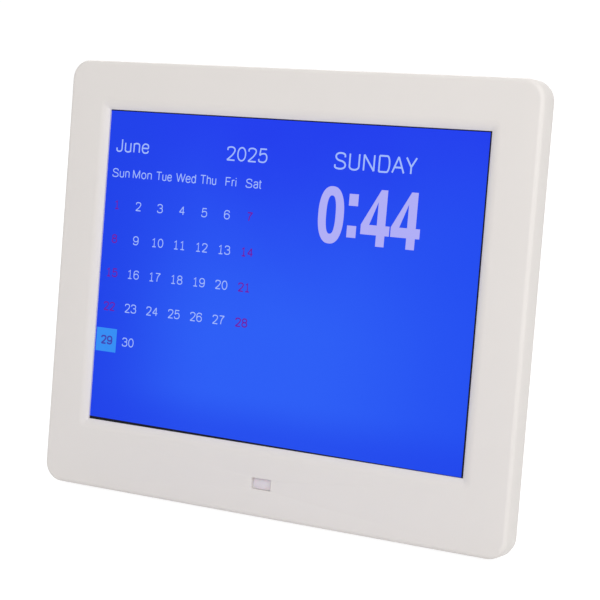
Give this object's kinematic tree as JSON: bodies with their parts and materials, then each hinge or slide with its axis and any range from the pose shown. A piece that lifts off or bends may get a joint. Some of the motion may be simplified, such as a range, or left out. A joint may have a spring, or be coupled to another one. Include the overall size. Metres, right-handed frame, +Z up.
{
  "type": "day clock",
  "caption": "Landscape digital calendar day clock with a wide plain bezel around a lit blue screen, leaning back on a fold-out rear leg, with push buttons and sockets behind.",
  "frame": {"origin": "centre of the bounding box's footprint, on the level surface that the clock stands on", "axes": "+Z up, the screen faces -Y and leans back, +X to the right as seen from the front"},
  "size_m": [0.2006, 0.0538, 0.1672],
  "materials": {
    "white_abs": "satin warm white moulding",
    "white_abs_rear": "fine-textured warm white moulding",
    "white_abs_leg": "fine-textured warm white moulding",
    "button_white": "satin white cap",
    "lens": "pale violet-grey lens",
    "foam": "matte black foam",
    "steel": "plain pressed steel",
    "screen": "lit display behind satin polariser",
    "film": "satin sheet",
    "grey_plastic": "matte",
    "acrylic": "polished clear sheet",
    "lamp": "satin",
    "ribbon": "amber film",
    "cream_plastic": "matte",
    "zinc_screw": "bright zinc",
    "black_plastic": "matte black",
    "circuit_board": "green solder mask",
    "capacitor": "satin can",
    "brass": "bright",
    "paper_cone": "pressed paper",
    "magnet": "dark ferrite",
    "cloth": "woven black",
    "wire": "insulated",
    "rubber": "matte grey rubber"
  },
  "bodies": {
    "case": {"front_bezel": "white_abs", "ir_window": "lens", "lcd_gasket": "foam", "lcd_front_frame": "steel", "lcd_glass": "screen", "diffuser_films": "film", "reflector_sheet": "film", "lcd_rear_tray": "grey_plastic", "light_guide": "acrylic", "led_strip": "lamp", "lcd_flex": "ribbon", "flex_connector": "cream_plastic", "key_ribbon": "ribbon", "lcd_clamps": "steel", "case_screws": "zinc_screw", "clamp_screws": "zinc_screw", "board_screws": "zinc_screw", "key_board_screws": "zinc_screw", "receiver_screws": "zinc_screw", "ir_receiver": "black_plastic", "ir_board": "circuit_board", "main_board": "circuit_board", "processor_chip": "black_plastic", "memory_chips": "black_plastic", "crystal": "steel", "capacitors": "capacitor", "coin_cell_holder": "black_plastic", "coin_cell": "steel", "dc_jack": "black_plastic", "dc_jack_pin": "brass", "usb_port": "steel", "usb_tongue": "cream_plastic", "sd_socket": "steel", "speaker_frame": "steel", "speaker_cone": "paper_cone", "speaker_magnet": "magnet", "speaker_cloth": "cloth", "speaker_wires": "wire", "receiver_wires": "wire", "tact_switches": "black_plastic", "button_board": "circuit_board", "back_cover": "white_abs_rear", "hinge_pin": "steel", "rubber_feet": "rubber"},
    "stand": {"stand_leg": "white_abs_leg", "leg_tip": "rubber"},
    "key_power": {"button_power": "button_white"},
    "key_menu": {"button_menu": "button_white"},
    "key_left": {"button_left": "button_white"},
    "key_up": {"button_up": "button_white"},
    "key_down": {"button_down": "button_white"},
    "key_right": {"button_right": "button_white"},
    "key_exit": {"button_exit": "button_white"}
  },
  "joints": [
    {"name": "stand_hinge", "type": "hinge", "parent": "case", "child": "stand", "pos_m": [0, 0.00833, 0.09551], "axis": [1, 0, 0], "range_deg": [-18, 0]},
    {"name": "power_press", "type": "slide", "parent": "case", "child": "key_power", "axis": [0, -0.9877, 0.1564], "range_m": [0, 0.00035], "stiffness_N_per_m": 600},
    {"name": "menu_press", "type": "slide", "parent": "case", "child": "key_menu", "axis": [0, -0.9877, 0.1564], "range_m": [0, 0.00035], "stiffness_N_per_m": 600},
    {"name": "left_press", "type": "slide", "parent": "case", "child": "key_left", "axis": [0, -0.9877, 0.1564], "range_m": [0, 0.00035], "stiffness_N_per_m": 600},
    {"name": "up_press", "type": "slide", "parent": "case", "child": "key_up", "axis": [0, -0.9877, 0.1564], "range_m": [0, 0.00035], "stiffness_N_per_m": 600},
    {"name": "down_press", "type": "slide", "parent": "case", "child": "key_down", "axis": [0, -0.9877, 0.1564], "range_m": [0, 0.00035], "stiffness_N_per_m": 600},
    {"name": "right_press", "type": "slide", "parent": "case", "child": "key_right", "axis": [0, -0.9877, 0.1564], "range_m": [0, 0.00035], "stiffness_N_per_m": 600},
    {"name": "exit_press", "type": "slide", "parent": "case", "child": "key_exit", "axis": [0, -0.9877, 0.1564], "range_m": [0, 0.00035], "stiffness_N_per_m": 600}
  ]
}
